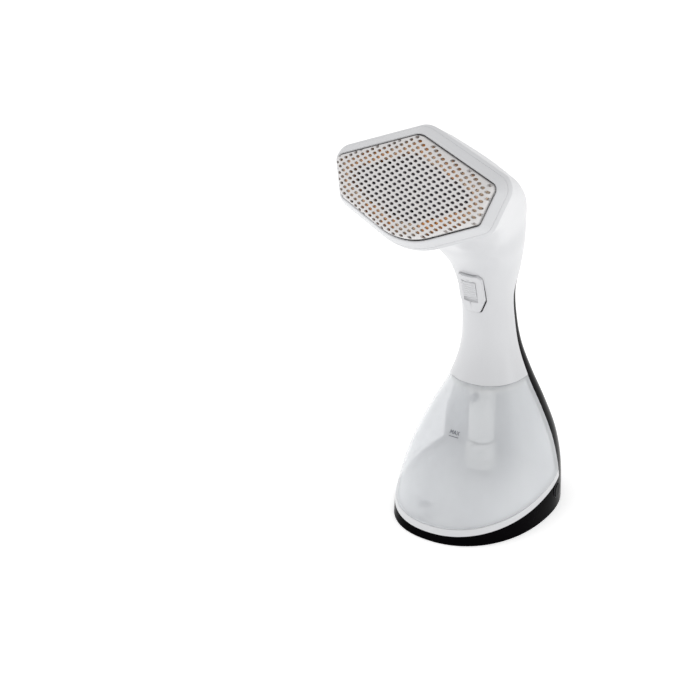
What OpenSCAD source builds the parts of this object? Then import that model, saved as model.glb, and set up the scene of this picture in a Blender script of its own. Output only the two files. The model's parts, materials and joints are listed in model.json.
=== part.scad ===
// Handheld garment steamer that stands on its own foot. Millimetres, +Z up.
// Origin: centre of the flat underside of the foot. The steam head faces -Y.

/* [Shells] */
// Thickness of the moulded walls
wall = 2; // [1.6:0.1:2.2]
// Roundness of the body's cross-sections, where 2 is an ellipse
roundness = 2.2; // [2.1:0.05:2.3]
// Gap along the seams between the shells
seam_gap = 0.3; // [0.2:0.05:0.4]

/* [Steam head] */
// Lean of the steam face back from the vertical, in degrees
face_lean = 15; // [14:0.5:16]
// Half the face's width at its upper side corners, before rounding
face_half_w = 53.9; // [53:0.1:55]
// Height of the upper side corners above the face's centre
upper_corner_h = 11; // [10:0.5:12]
// Half the face's width at its lower side corners, before rounding
lower_half_w = 46.7; // [45:0.1:48]
// Drop of the lower side corners below the face's centre
lower_corner_drop = 11.6; // [10.5:0.1:12.5]
// Height of the top and bottom points above and below the centre, before rounding
face_half_h = 32; // [31:0.5:33]
// Rounding of the top point
top_round = 9; // [8:1:12]
// Rounding of the upper side corners
upper_round = 3.6; // [3.4:0.2:5]
// Rounding of the lower side corners
lower_round = 4; // [3.4:0.2:5]
// Rounding of the bottom point
bottom_round = 40; // [30:1:44]
// Distance from one steam hole to the next along a row
hole_pitch = 5.6; // [5.4:0.1:6]
// Distance from one row of steam holes to the next
hole_row = 1.87; // [1.85:0.01:2.1]

/* [Tank] */
// Height of the seam between the tank and the neck
tank_top_z = 92; // [91:0.5:93]
// Height of the white rim band under the tank
band_h = 4.8; // [4.4:0.1:5.2]
// Radius of the tank's outlet spigot
spigot_r = 4.95; // [4.9:0.01:4.96]
// Radius of the bore that the spigot enters
socket_bore_r = 5.02; // [5.01:0.01:5.04]

/* [Controls] */
// Full travel of the trigger, in degrees
trigger_travel = 6; // [4:0.5:6]
// Radius of the trigger's pin
pin_r = 1; // [0.9:0.01:1]
// Travel of the lock slider on the trigger
slider_travel = 3; // [2:0.5:3]
// Radius of the two tank release buttons
button_r = 4.8; // [4:0.1:4.8]
// Radial clearance of everything that turns or slides in a bore
running_gap = 0.06; // [0.04:0.01:0.08]

/* [Cord inlet] */
// Radius of the hole that the mains cord enters by
cord_hole_r = 3.6; // [3:0.1:4]

/* [Hidden] */

reach = 400;
arc_fn = 48;

// ---- Outline of the steam face, in the face's own plane ----
face_centre = [0, -88.8, 238.6];
face_corners = [
    [face_half_w, upper_corner_h],
    [0, face_half_h],
    [-face_half_w, upper_corner_h],
    [-lower_half_w, -lower_corner_drop],
    [0, -face_half_h],
    [lower_half_w, -lower_corner_drop]
];
face_rounds = [upper_round, top_round, upper_round, lower_round, bottom_round, lower_round];
least_round = 1.5;
arc_steps = 2;
edge_steps = 6;

function unit(v) = v / norm(v);
function mix(a, b, t) = a * (1 - t) + b * t;
function edge_angle(e) = atan2(-e[0], e[1]);

// Points round one corner, with the whole outline grown outward by grow
function corner_arc(i, grow) =
    let (
        p = face_corners[i],
        to_last = unit(face_corners[(i + 5) % 6] - p),
        to_next = unit(face_corners[(i + 1) % 6] - p),
        half = acos(to_last * to_next) / 2,
        r = max(face_rounds[i] + grow, least_round),
        c = p + unit(to_last + to_next) * (r - grow) / sin(half),
        first = edge_angle(-to_last),
        turn = 180 - 2 * half
    )
    [for (k = [0:arc_steps]) c + r * [cos(first + turn * k / arc_steps), sin(first + turn * k / arc_steps)]];

// The rounded hexagon, anticlockwise, with points along its straight edges too
function face_outline(grow) =
    let (arcs = [for (i = [0:5]) corner_arc(i, grow)])
    [for (i = [0:5]) each concat(
        arcs[i],
        [for (k = [1:edge_steps - 1]) mix(arcs[i][arc_steps], arcs[(i + 1) % 6][0], k / edge_steps)]
    )];

// ---- Body loft ----
// How far the housing's rim stands outside the face outline and behind the face
rim_grow = 6.2;
rim_back = 8.3;
lip_grow = 4.9;
lip_back = 5.6;
rim_half_w = 60;
face_forward = [0, -cos(face_lean), sin(face_lean)];
face_up = [0, sin(face_lean), cos(face_lean)];
rim = face_outline(rim_grow);
rim_top = max([for (p = rim) p[1]]);
rim_bottom = min([for (p = rim) p[1]]);
rim_mid = (rim_top + rim_bottom) / 2;
rim_half_h = (rim_top - rim_bottom) / 2;
rim_origin = face_centre - face_forward * rim_back;
rim_low = rim_origin + face_up * rim_bottom;
rim_high = rim_origin + face_up * rim_top;

// Sections from the foot to the rim: front y, front z, rear y, rear z, half width, share of hexagon
sections = [
    [-66, 0, 64.5, 0, 49.5, 0],
    [-63.8, 14, 63.5, 14, 49, 0],
    [-56.5, 31, 61.5, 31, 47, 0],
    [-45.5, 50, 56, 50, 42.5, 0],
    [-32, 70, 47.5, 70, 34.5, 0],
    [-19.5, 89, 39, 89, 25.5, 0],
    [-13.3, 110, 30, 110, 18.7, 0],
    [-13.5, 130, 24, 130, 16.3, 0],
    [-17, 150, 20.5, 150, 16.4, 0],
    [-24, 170, 19.5, 169, 21.5, 0],
    [-36, 183, 14, 191, 28, 0],
    [-44, 190, 7.5, 213, 32.5, 0.3],
    [-58, 197, -12, 236, 42, 0.6],
    [-75, 203, -43, 258, 52.5, 0.8],
    [rim_low[1], rim_low[2], rim_high[1], rim_high[2], rim_half_w, 1]
];
last_section = len(sections) - 1;

// Smooth curve through one column of the sections
function slope_at(i, c) =
    i == 0 ? sections[1][c] - sections[0][c] :
    i == last_section ? sections[i][c] - sections[i - 1][c] :
    (sections[i + 1][c] - sections[i - 1][c]) / 2;
function blend(t, c) =
    let (
        i = min(floor(t), last_section - 1),
        u = t - i
    )
    (2 * pow(u, 3) - 3 * pow(u, 2) + 1) * sections[i][c]
    + (pow(u, 3) - 2 * pow(u, 2) + u) * slope_at(i, c)
    + (3 * pow(u, 2) - 2 * pow(u, 3)) * sections[i + 1][c]
    + (pow(u, 3) - pow(u, 2)) * slope_at(i + 1, c);

// Direction and hexagon radius of each outline point, in a frame where the rim is 1 wide and 1 high
rim_unit = [for (p = rim) [p[0] / rim_half_w, (p[1] - rim_mid) / rim_half_h]];
function round_radius(d) = pow(pow(abs(d[0]), roundness) + pow(abs(d[1]), roundness), -1 / roundness);

// One section of the body, drawn inset by a wall's thickness
function ring(t, inset) =
    let (
        front = [blend(t, 0), blend(t, 1)],
        rear = [blend(t, 2), blend(t, 3)],
        along = unit(rear - front),
        half_d = norm(rear - front) / 2 - inset,
        mid = (front + rear) / 2,
        half_w = blend(t, 4) - inset,
        hexagon = blend(t, 5)
    )
    [for (p = rim_unit)
        let (
            r = norm(p),
            d = p / r,
            q = d * mix(round_radius(d), r, hexagon)
        )
        [half_w * q[0], mid[0] + along[0] * half_d * q[1], mid[1] + along[1] * half_d * q[1]]
    ];

function face_ring(grow, forward) =
    [for (p = face_outline(grow)) face_centre + face_forward * forward + [p[0], 0, 0] + face_up * p[1]];
function moved(points, by) = [for (p = points) p + by];
function span(from, to, steps) = [for (k = [0:steps]) mix(from, to, k / steps)];

// Closed solid through a list of rings that all have the same number of points
module loft(rings) {
    n = len(rings[0]);
    m = len(rings);
    sides = [for (j = [0:m - 2], k = [0:n - 1]) each [
        [j * n + k, (j + 1) * n + k, (j + 1) * n + (k + 1) % n],
        [j * n + k, (j + 1) * n + (k + 1) % n, j * n + (k + 1) % n]
    ]];
    start = [[for (k = [0:n - 1]) k]];
    end = [[for (k = [n - 1:-1:0]) (m - 1) * n + k]];
    polyhedron(points = [for (r = rings) each r], faces = concat(start, sides, end), convexity = 6);
}

// Ring that follows the face outline, from a closed profile of [grow, forward] points
module face_band(profile) {
    n = len(face_outline(0));
    m = len(profile);
    rings = [for (p = profile) face_ring(p[0], p[1])];
    faces = [for (j = [0:m - 1], k = [0:n - 1]) each [
        [j * n + k, ((j + 1) % m) * n + (k + 1) % n, ((j + 1) % m) * n + k],
        [j * n + k, j * n + (k + 1) % n, ((j + 1) % m) * n + (k + 1) % n]
    ]];
    polyhedron(points = [for (r = rings) each r], faces = faces, convexity = 6);
}

// Keeps a free-form shell and the cuts in it as one watertight mesh
module as_one_mesh() {
    resize([0, 0, 0]) children();
}

step_per_section = 2;
lower_steps = span(0, 6, 6 * step_per_section);
upper_steps = span(5, last_section, (last_section - 5) * step_per_section);
spine_steps = span(0, 12, 12 * step_per_section);

module lower_body(inset) {
    loft(concat([moved(ring(0, inset), [0, 0, inset > 0 ? -5 : 0])], [for (t = lower_steps) ring(t, inset)]));
}

module upper_body() {
    loft(concat([for (t = upper_steps) ring(t, 0)], [face_ring(lip_grow, -lip_back)]));
}

module upper_hollow() {
    loft(concat([for (t = upper_steps) ring(t, wall)], [face_ring(rim_grow - wall, 5)]));
}

module spine_body(inset) {
    loft(concat([moved(ring(0, inset), [0, 0, inset > 0 ? -5 : 0])], [for (t = spine_steps) ring(t, inset)]));
}

// ---- Seams ----
// The black foot's top edge rises to the rear, and the spine's seam leans forward
foot_front = [-64.5, 5.5];
foot_slope = 0.156;
parting = [6.5, 153];
parting_lean = atan(0.156);
foot_angle = atan(foot_slope);
function foot_z(y) = foot_front[1] + (y - foot_front[0]) * foot_slope;
function parting_y(z) = parting[0] + (parting[1] - z) * tan(parting_lean);

module above_foot(lift) {
    translate([0, foot_front[0], foot_front[1] + lift])
        rotate([foot_angle, 0, 0])
            translate([-reach / 2, -reach / 2, 0])
                cube(reach);
}

module below_foot(lift) {
    translate([0, foot_front[0], foot_front[1] + lift])
        rotate([foot_angle, 0, 0])
            translate([-reach / 2, -reach / 2, -reach])
                cube(reach);
}

module below(z) {
    translate([-reach / 2, -reach / 2, z - reach]) cube(reach);
}

module above(z) {
    translate([-reach / 2, -reach / 2, z]) cube(reach);
}

// Everything ahead of the parting plane, moved forward by back_off
module ahead_of_parting(back_off) {
    translate([0, parting[0] - back_off, parting[1]])
        rotate([parting_lean, 0, 0])
            translate([-reach / 2, -reach, -reach / 2])
                cube(reach);
}

// The spine's side view: the leaning seam, then a curve over to the back of the head
spine_bend_z = 148;
spine_curve = [24, 38];
module spine_region(shrink) {
    bend = [parting_y(spine_bend_z) + shrink, spine_bend_z];
    curve = [for (a = [0:10:90]) bend + [spine_curve[0] * (1 - cos(a)), (spine_curve[1] - shrink) * sin(a)]];
    rotate([90, 0, 90])
        linear_extrude(height = reach, center = true)
            polygon(concat(
                [[parting_y(-20) + shrink, -20]], curve, [[reach / 2, curve[9][1]], [reach / 2, -20]]
            ));
}

// ---- Local frames ----
// Face frame: origin at the face's centre, z out of the face, y up the face
module on_face() {
    translate(face_centre) rotate([90 - face_lean, 0, 0]) children();
}

// Spine frame: origin on the seam, z up the seam, y to the rear
module on_spine() {
    translate([0, parting[0], parting[1]]) rotate([parting_lean, 0, 0]) children();
}

// Trigger frame: origin at the trigger's foot, z up its front, y into the neck
trigger_foot = [0, -16.7, 140];
trigger_lean = 16.9;
module on_trigger() {
    translate(trigger_foot) rotate([trigger_lean, 0, 0]) children();
}

// Button frame: origin on the foot's side wall, x out of the wall
button_place = [47.17, 20.3, 12.8];
button_turn = 11.7;
guide_r = button_r + 0.5;
module on_button(side) {
    mirror([side > 0 ? 0 : 1, 0, 0])
        translate(button_place)
            rotate([0, 0, button_turn])
                children();
}

// ---- Shared small shapes ----
module face_plate(grow, back, front) {
    translate([0, 0, back]) linear_extrude(height = front - back) polygon(face_outline(grow));
}

module rod_x(r, from, to) {
    translate([from, 0, 0]) rotate([0, 90, 0]) cylinder(r = r, h = to - from, $fn = arc_fn);
}

module rod_y(r, from, to) {
    translate([0, from, 0]) rotate([-90, 0, 0]) cylinder(r = r, h = to - from, $fn = arc_fn);
}

module box(low, high) {
    translate(low) cube(high - low);
}

// Pan-head screw, point up, with the top of its shank at z = 0
module screw(shank_r, length, head_r, head_h) {
    translate([0, 0, -length]) cylinder(r = shank_r, h = length, $fn = arc_fn);
    translate([0, 0, -length - head_h])
        difference() {
            cylinder(r = head_r, h = head_h, $fn = arc_fn);
            for (a = [0, 90])
                rotate([0, 0, a])
                    translate([-head_r * 0.6, -0.35, -1]) cube([head_r * 1.2, 0.7, 1 + head_h * 0.6]);
        }
}

// Round tube swept along a smooth route, as one closed solid
tube_sides = 8;
function route_point(route, t) =
    let (
        last = len(route) - 1,
        i = min(floor(t), last - 1),
        u = t - i,
        a = route[max(i - 1, 0)],
        b = route[i],
        c = route[i + 1],
        d = route[min(i + 2, last)]
    )
    b + (c - a) * u / 2 + (a * 2 - b * 5 + c * 4 - d) * u * u / 2 + (b * 3 - a - c * 3 + d) * u * u * u / 2;
module swept_tube(route, r, steps) {
    last = len(route) - 1;
    centres = [for (t = span(0, last, last * steps)) route_point(route, t)];
    n = len(centres) - 1;
    rings = [for (i = [0:n])
        let (
            along = unit(centres[min(i + 1, n)] - centres[max(i - 1, 0)]),
            side = unit(cross(along, abs(along[0]) > 0.9 ? [0, 1, 0] : [1, 0, 0])),
            other = cross(along, side)
        )
        [for (k = [0:tube_sides - 1])
            centres[i] + r * (side * cos(360 * k / tube_sides) - other * sin(360 * k / tube_sides))]
    ];
    loft(rings);
}

// Compression spring along +z from 0 to length
coil_steps = 10;
wire_sides = 6;
module coil_spring(r, wire_r, length, turns) {
    n = turns * coil_steps;
    rise = length - 2 * wire_r;
    loft([for (i = [0:n])
        let (
            a = 360 * i / coil_steps,
            c = [r * cos(a), r * sin(a), wire_r + rise * i / n]
        )
        [for (k = [0:wire_sides - 1])
            let (b = -360 * k / wire_sides)
            c + wire_r * (cos(b) * [cos(a), sin(a), 0] + sin(b) * [0, 0, 1])]
    ]);
}

// ---- Outer shells ----
// Screws that join the spine to the chassis: x and height along the spine
spine_screws = [[0, -12], [20.5, -108], [-20.5, -108]];
spine_screw_seat = [9.6, 24, 24];
boss_r = 4.6;
counterbore_r = 3.2;
light_z = 161;
light_r = 2.2;

module screw_line(i) {
    on_spine() translate([spine_screws[i][0], 0, spine_screws[i][1]]) children();
}

module front_housing() {
    color("white")
        as_one_mesh()
            difference() {
                upper_body();
                intersection() {
                    upper_hollow();
                    above(tank_top_z + seam_gap + wall);
                }
                below(tank_top_z + seam_gap / 2);
                spine_region(-seam_gap / 2);
                on_trigger() trigger_prism(window_gap, window_drop, -8, 9);
            }
}

module rear_cover() {
    color("black")
        as_one_mesh()
            difference() {
                intersection() {
                    union() {
                        difference() {
                            spine_body(0);
                            spine_body(wall);
                        }
                        intersection() {
                            spine_body(0);
                            union() {
                                for (i = [0:2])
                                    screw_line(i) rod_y(boss_r, spine_screw_seat[i] - 1.6, reach / 8);
                            }
                        }
                    }
                    spine_region(seam_gap / 2);
                }
                below_foot(seam_gap / 2);
                for (i = [0:2])
                    screw_line(i) {
                        rod_y(counterbore_r, spine_screw_seat[i], reach / 8);
                        rod_y(1.7, 0, reach / 8);
                    }
                translate([0, 0, light_z]) rod_y(light_r + 0.2, 10, 40);
            }
}

deck = 1.5;
cord_z = 12;
cord_sleeve_r = 6.4;
module base_tray() {
    color("black")
        as_one_mesh()
            difference() {
                intersection() {
                    union() {
                        difference() {
                            lower_body(0);
                            intersection() {
                                lower_body(wall);
                                union() {
                                    below_foot(-seam_gap / 2 - deck);
                                    spine_region(0.6);
                                }
                            }
                        }
                        intersection() {
                            lower_body(0);
                            for (s = base_screw_spots)
                                translate([s[0], s[1], plate_t + 0.05])
                                    cylinder(r = base_post_r, h = 10, $fn = 24);
                        }
                    }
                    below_foot(-seam_gap / 2);
                }
                translate([0, 0, cord_z]) rod_y(cord_sleeve_r + 0.2, 50, 80);
                for (side = [-1, 1])
                    on_button(side) rod_x(guide_r + 0.1, -18, 6);
                for (s = base_screw_spots)
                    translate([s[0], s[1], -1]) cylinder(r = base_screw_r + 0.05, h = 1 + 9, $fn = 16);
            }
}

// ---- Underside ----
plate_t = 3;
pad_r = 7;
pad_t = 1.2;
pad_spots = [[28, -38], [-28, -38], [30, 34], [-30, 34]];
base_screw_spots = [[33, -12], [-33, -12], [25.5, 49.6], [-25.5, 49.6]];
base_post_r = 4.4;
base_screw_r = 1.5;
base_head_r = 2.4;
clamp_spots = [[10, 49.5], [-10, 49.5]];
clamp_post_top = 10.4;

module base_plate() {
    plan = [for (p = ring(0, wall + 0.7)) [p[0], p[1]]];
    color("dimgray")
        difference() {
            union() {
                linear_extrude(height = plate_t) polygon(plan);
                for (s = clamp_spots)
                    translate([s[0], s[1], plate_t / 2])
                        cylinder(r = 3, h = clamp_post_top - plate_t / 2, $fn = arc_fn);
            }
            for (s = pad_spots)
                translate([s[0], s[1], -1]) cylinder(r = pad_r + 0.1, h = 1 + pad_t, $fn = arc_fn);
            for (s = base_screw_spots)
                translate([s[0], s[1], -1]) {
                    cylinder(r = base_head_r + 0.2, h = 1 + 1.8, $fn = arc_fn);
                    cylinder(r = base_screw_r + 0.1, h = 1 + 2 * plate_t, $fn = arc_fn);
                }
            for (s = clamp_spots)
                translate([s[0], s[1], clamp_post_top - 6])
                    cylinder(r = 1.3, h = 10, $fn = arc_fn);
        }
}

module anti_slip_pads() {
    color("darkslategray")
        for (s = pad_spots)
            translate([s[0], s[1], 0]) cylinder(r = pad_r, h = pad_t, $fn = arc_fn);
}

module base_screws() {
    color("silver")
        for (s = base_screw_spots)
            translate([s[0], s[1], 1.8 + 5]) screw(base_screw_r, 5, base_head_r, 1.5);
}

module handle_screws() {
    color("silver")
        for (i = [0:2])
            screw_line(i)
                translate([0, spine_screw_seat[i] - 6.5, 0])
                    rotate([90, 0, 0])
                        screw(1.4, 6.5, 2.8, 2);
}

// ---- Steam head ----
bezel_profile = [
    [0.4, -0.3], [1, 0.1], [1.8, -0.6], [3.9, -4.6], [3.9, -8], [-3.4, -8], [-3.4, -6.8], [0.4, -6.8]
];
heater_screw_spots = [[26.4, 20], [-26.4, 20], [22.7, -20.3], [-22.7, -20.3]];
heater_screw_r = 1.3;

module heater_screw_holes() {
    on_face()
        for (s = heater_screw_spots)
            translate([s[0], s[1], -13]) cylinder(r = heater_screw_r + 0.1, h = 8, $fn = 16);
}

module bezel() {
    color("white")
        as_one_mesh()
            difference() {
                face_band(bezel_profile);
                heater_screw_holes();
            }
}

// The cover's shoulder: each step is [grow, top]
cover_steps = [[-0.4, 1.6], [-0.9, 2.9], [-2, 4.1], [-3.6, 5], [-5.4, 5.5]];
cover_t = 1.2;
cover_back = -4;
hole_half = [1.3, 0.75];
hole_outline = [for (a = [0:60:300]) [hole_half[0] * cos(a), hole_half[1] * sin(a)]];
hole_margin = -2.8;

module cover_solid(inset, back) {
    for (s = cover_steps)
        face_plate(s[0] - inset, back, s[1] - inset);
}

// True where a point lies inside the face outline grown by grow
function side_of(a, b, p) = cross(b - a, p - a);
function within_face(p, grow) =
    let (o = face_outline(grow), n = len(o))
    min([for (k = [0:n - 1]) side_of(o[k], o[(k + 1) % n], p)]) > 0;

hole_rows = ceil(face_half_h / hole_row);
hole_columns = ceil(face_half_w / hole_pitch);
hole_spots = [for (j = [-hole_rows:hole_rows], i = [-hole_columns:hole_columns])
    let (p = [(i + (abs(j) % 2) / 2) * hole_pitch, j * hole_row])
    if (within_face(p, hole_margin)) p];

module steam_cover() {
    color("gainsboro")
        on_face()
            difference() {
                cover_solid(0, cover_back);
                cover_solid(cover_t, cover_back - 1);
                translate([0, 0, 0.4])
                    linear_extrude(height = 8)
                        for (p = hole_spots)
                            translate(p) polygon(hole_outline);
            }
}

module face_gasket() {
    color("peru") face_band([[-10, -4], [-10, 2.2], [-3.8, 1.9], [-2.6, 0.7], [-2.6, -4]]);
}

sole_back = -9;
sole_front = -4.2;
vent_spots = [for (v = [-12, 0, 12], x = [-30:10:30]) [x, v]];
module soleplate() {
    color("dimgray")
        on_face()
            difference() {
                face_plate(-5.6, sole_back, sole_front);
                for (s = vent_spots)
                    translate([s[0], s[1], sole_back - 1]) cylinder(r = 1.2, h = 10, $fn = arc_fn);
            }
}

chamber_back = -24;
chamber_inset = 11;
nozzle_spot = [-10, 0];
nozzle_back = -32;
module steam_chamber() {
    color("silver")
        on_face()
            difference() {
                union() {
                    face_plate(-chamber_inset, chamber_back, sole_back - 0.05);
                    translate([nozzle_spot[0], nozzle_spot[1], nozzle_back])
                        cylinder(r = 2, h = chamber_back - nozzle_back + 1, $fn = arc_fn);
                }
                face_plate(-chamber_inset - 3, chamber_back + 4, 0);
                translate([nozzle_spot[0], nozzle_spot[1], nozzle_back - 1])
                    cylinder(r = 1.1, h = 20, $fn = arc_fn);
            }
}

element_r = 3.2;
element_leg = 20;
element_half_gap = 9.2;
element_back = chamber_back - element_r - 0.1;
module heating_element() {
    color("darkgray")
        on_face()
            translate([0, 0, element_back]) {
                for (v = [-1, 1])
                    translate([0, v * element_half_gap, 0]) rod_x(element_r, -element_leg, element_leg);
                translate([-element_leg, 0, 0])
                    rotate([0, 0, 90])
                        rotate_extrude(angle = 180, $fn = arc_fn)
                            translate([element_half_gap, 0]) circle(r = element_r, $fn = arc_fn);
            }
}

module thermostat() {
    color("sienna")
        on_face()
            translate([8, 0, chamber_back - 6.1]) {
                cylinder(r = 5.6, h = 6, $fn = arc_fn);
                for (x = [-4, 3])
                    box([x, -1.5, -5], [x + 0.8, 1.5, 1]);
            }
}

module thermal_fuse() {
    color("gold")
        on_face()
            translate([24, 0, chamber_back - 2.6]) {
                rod_y(2, -3.5, 3.5);
                rod_y(0.6, -5.6, 5.6);
            }
}

module heater_frame() {
    color("beige")
        as_one_mesh()
            difference() {
                face_band([[-5.2, -8.05], [2.6, -8.05], [2.6, -12], [-9, -12], [-9, -9.2], [-5.2, -9.2]]);
                heater_screw_holes();
            }
}

module heater_screws() {
    color("silver")
        on_face()
            for (s = heater_screw_spots)
                translate([s[0], s[1], -7]) screw(heater_screw_r, 5.1, 2.6, 1.8);
}

// ---- Spine and electrics ----
chassis_d = [1, 3.4];
chassis_half = [
    [0, 10.5], [-34, 11.5], [-44, 13.2], [-62, 18], [-85, 28.5], [-104, 35.5], [-130, 38], [-150, 30]
];
board_h = [-56, -22];
board_half_w = 11;
board_d = [-3.6, -2];
bracket_y = [-3, -1];
bracket_posts = [[0, 146.5], [0, 151]];
pump_d = 14.5;
pump_coil_h = [-122, -98];
pump_body_h = [-130, -84];
pump_body_r = 6.5;
mount_ring_h = [[-129, -124], [-91, -86]];
mount_ring_r = 9.2;
socket_z = 82;
socket_y = [18.9, 29];
socket_r = 8;

module chassis() {
    outline = concat(
        [for (p = chassis_half) [p[1], p[0]]],
        [for (i = [len(chassis_half) - 1:-1:0]) [-chassis_half[i][1], chassis_half[i][0]]]
    );
    color("lightgray")
        difference() {
            union() {
                on_spine() {
                    translate([0, chassis_d[1], 0])
                        rotate([90, 0, 0])
                            linear_extrude(height = chassis_d[1] - chassis_d[0]) polygon(outline);
                    for (i = [0:2])
                        translate([spine_screws[i][0], 0, spine_screws[i][1]])
                            rod_y(3.8, chassis_d[1] - 1, spine_screw_seat[i] - 1.7);
                    for (x = [-8, 8], h = [-52, -26])
                        translate([x, 0, h]) rod_y(1.6, board_d[1], chassis_d[0] + 1);
                    for (h = mount_ring_h)
                        box([-5, chassis_d[1] - 1, h[0]], [5, pump_d - mount_ring_r - 0.1, h[1]]);
                }
                for (p = bracket_posts)
                    translate([p[0], 0, p[1]]) rod_y(2, bracket_y[1], parting_y(p[1]) + 2.4);
            }
            for (i = [0:2])
                screw_line(i) rod_y(1.45, -10, reach / 8);
            translate([0, 0, socket_z]) rod_y(socket_r + 0.2, 10, 40);
        }
}

ear_x = [9.2, 11.2];
pivot = [0, -12.5, 165];
module switch_bracket() {
    color("lightgray")
        difference() {
            union() {
                box([-ear_x[1], bracket_y[0], 139], [ear_x[1], bracket_y[1], 169]);
                for (side = [-1, 1])
                    translate([side * (ear_x[0] + ear_x[1]) / 2, 0, 0])
                        box([-1, -14.4, 161.5], [1, bracket_y[0] + 1, 168.5]);
            }
            translate([0, pivot[1], pivot[2]]) rod_x(pin_r, -reach / 8, reach / 8);
        }
}

module control_board() {
    color("darkgreen")
        on_spine() box([-board_half_w, board_d[0], board_h[0]], [board_half_w, board_d[1], board_h[1]]);
}

// Capacitor, relay, driver chip and terminal block on the board's front
module board_components() {
    front = board_d[0] - 0.05;
    color("darkslategray")
        on_spine() {
            translate([5.5, 0, -29]) rod_y(3.2, front - 7, front);
            box([-9, front - 7.5, -36], [1, front, -25]);
            box([2, front - 2.4, -45], [9, front, -38]);
            box([-9, front - 6, -53], [8, front, -47]);
        }
}

switch_x = [1, 7.4];
switch_y = [-8, bracket_y[0] - 0.05];
plunger_x = 4.2;
press_z = 146;
plunger_r = 1.1;
plunger_y = [-10.7, -6.5];
module micro_switch() {
    color("dimgray")
        difference() {
            box([switch_x[0], switch_y[0], 140], [switch_x[1], switch_y[1], 152.5]);
            translate([plunger_x, 0, press_z]) rod_y(plunger_r + running_gap, -10, -4);
        }
}

module switch_plunger() {
    color("firebrick")
        translate([plunger_x, 0, press_z]) rod_y(plunger_r, plunger_y[0], plunger_y[1]);
}

module ready_light() {
    color("orangered")
        translate([0, 0, light_z]) {
            rod_y(light_r, 15.5, 18.6);
            translate([0, 18.6, 0]) sphere(r = light_r, $fn = arc_fn);
        }
}

// ---- Trigger ----
// Corners of the trigger's front, in its own frame, right side from the bottom up
trigger_side = [[5.2, 1.2], [8.6, 9], [8.6, 25.4], [6.4, 27.9]];
trigger_crown_r = 20;
window_gap = 0.4;
window_drop = 1.4;
trigger_t = 2.2;
slot_half_w = 5;
slot_z = [8.6, 24];
slot_floor = 1.5;
tongue_half_w = 1.2;
tongue_z = [14, 19];
slider_half_w = 4.7;
slider_z = [12.2, 23.8];

// The trigger's outline, or its window's: wider by side, and lower by drop at the foot
function trigger_edge(side, drop) =
    [for (p = trigger_side) [p[0] + side, p[1] > 20 ? p[1] + side : p[1] - drop]];
function trigger_outline(side, drop) =
    let (edge = trigger_edge(side, drop))
    concat(edge, [for (i = [len(edge) - 1:-1:0]) [-edge[i][0], edge[i][1]]]);

module trigger_prism(side, drop, from, to) {
    translate([0, to, 0])
        rotate([90, 0, 0])
            linear_extrude(height = to - from)
                polygon(trigger_outline(side, drop));
}

module trigger_tube(r) {
    translate([0, trigger_crown_r, -10]) cylinder(r = r, h = 50, $fn = 96);
}

module trigger() {
    color("whitesmoke")
        difference() {
            union() {
                on_trigger()
                    difference() {
                        intersection() {
                            difference() {
                                trigger_tube(trigger_crown_r);
                                trigger_tube(trigger_crown_r - trigger_t);
                            }
                            trigger_prism(0, 0, -1, 6);
                        }
                        box([-slot_half_w, -2, slot_z[0]], [slot_half_w, slot_floor, slot_z[1]]);
                        box([-tongue_half_w - 0.3, -2, tongue_z[0] - slider_travel - 0.3],
                            [tongue_half_w + 0.3, 6, tongue_z[1] + 0.3]);
                    }
                // Arms back to the barrel that turns on the pin
                for (side = [-1, 1])
                    on_trigger()
                        translate([side * 6.6, 0, 0]) box([-1.2, 2.6, 20.6], [1.2, 11.3, 25]);
                translate([0, pivot[1], pivot[2]]) rod_x(2.3, -8.8, 8.8);
                // Pad that presses the switch
                translate([plunger_x, 0, press_z]) rod_y(1.6, -15.6, plunger_y[0] - 0.3);
            }
            translate([0, pivot[1], pivot[2]]) rod_x(pin_r + running_gap, -20, 20);
        }
}

module trigger_pin() {
    color("silver") translate([0, pivot[1], pivot[2]]) rod_x(pin_r, -ear_x[1] - 0.3, ear_x[1] + 0.3);
}

trigger_spring_y = [-14.8, bracket_y[0] - 0.05];
module trigger_spring() {
    color("silver")
        translate([-plunger_x, trigger_spring_y[0], press_z])
            rotate([-90, 0, 0])
                coil_spring(2.4, 0.35, trigger_spring_y[1] - trigger_spring_y[0], 6);
}

rib_count = 7;
module lock_slider() {
    first = slider_z[0] + 1;
    step = (slider_z[1] - slider_z[0] - 2) / (rib_count - 1);
    color("whitesmoke")
        on_trigger() {
            box([-slider_half_w, 0, slider_z[0]], [slider_half_w, slot_floor - 0.1, slider_z[1]]);
            for (k = [0:rib_count - 1])
                translate([0, 0, first + k * step])
                    box([-slider_half_w, -0.7, -0.4], [slider_half_w, 0.1, 0.4]);
            box([-tongue_half_w, 1, tongue_z[0]], [tongue_half_w, 3.6, tongue_z[1]]);
        }
}

// ---- Pump ----
plunger_bore_r = 4;
plunger_h = [-118, -98];
pump_bore_h = [-122, -88];
pump_travel = 3;
yoke_t = 1.6;
coil_half_w = 13;
coil_half_d = 10;

module on_pump() {
    on_spine() translate([0, pump_d, 0]) children();
}

module pump_body() {
    color("ivory")
        on_pump()
            difference() {
                union() {
                    translate([0, 0, pump_body_h[0]])
                        cylinder(r = pump_body_r, h = pump_body_h[1] - pump_body_h[0], $fn = arc_fn);
                    translate([0, 0, pump_body_h[0] - 5])
                        cylinder(r = 2, h = pump_body_h[1] - pump_body_h[0] + 11, $fn = arc_fn);
                }
                translate([0, 0, pump_bore_h[0]])
                    cylinder(r = plunger_bore_r, h = pump_bore_h[1] - pump_bore_h[0], $fn = arc_fn);
                translate([0, 0, -reach / 2]) cylinder(r = 1, h = reach, $fn = arc_fn);
            }
}

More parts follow.
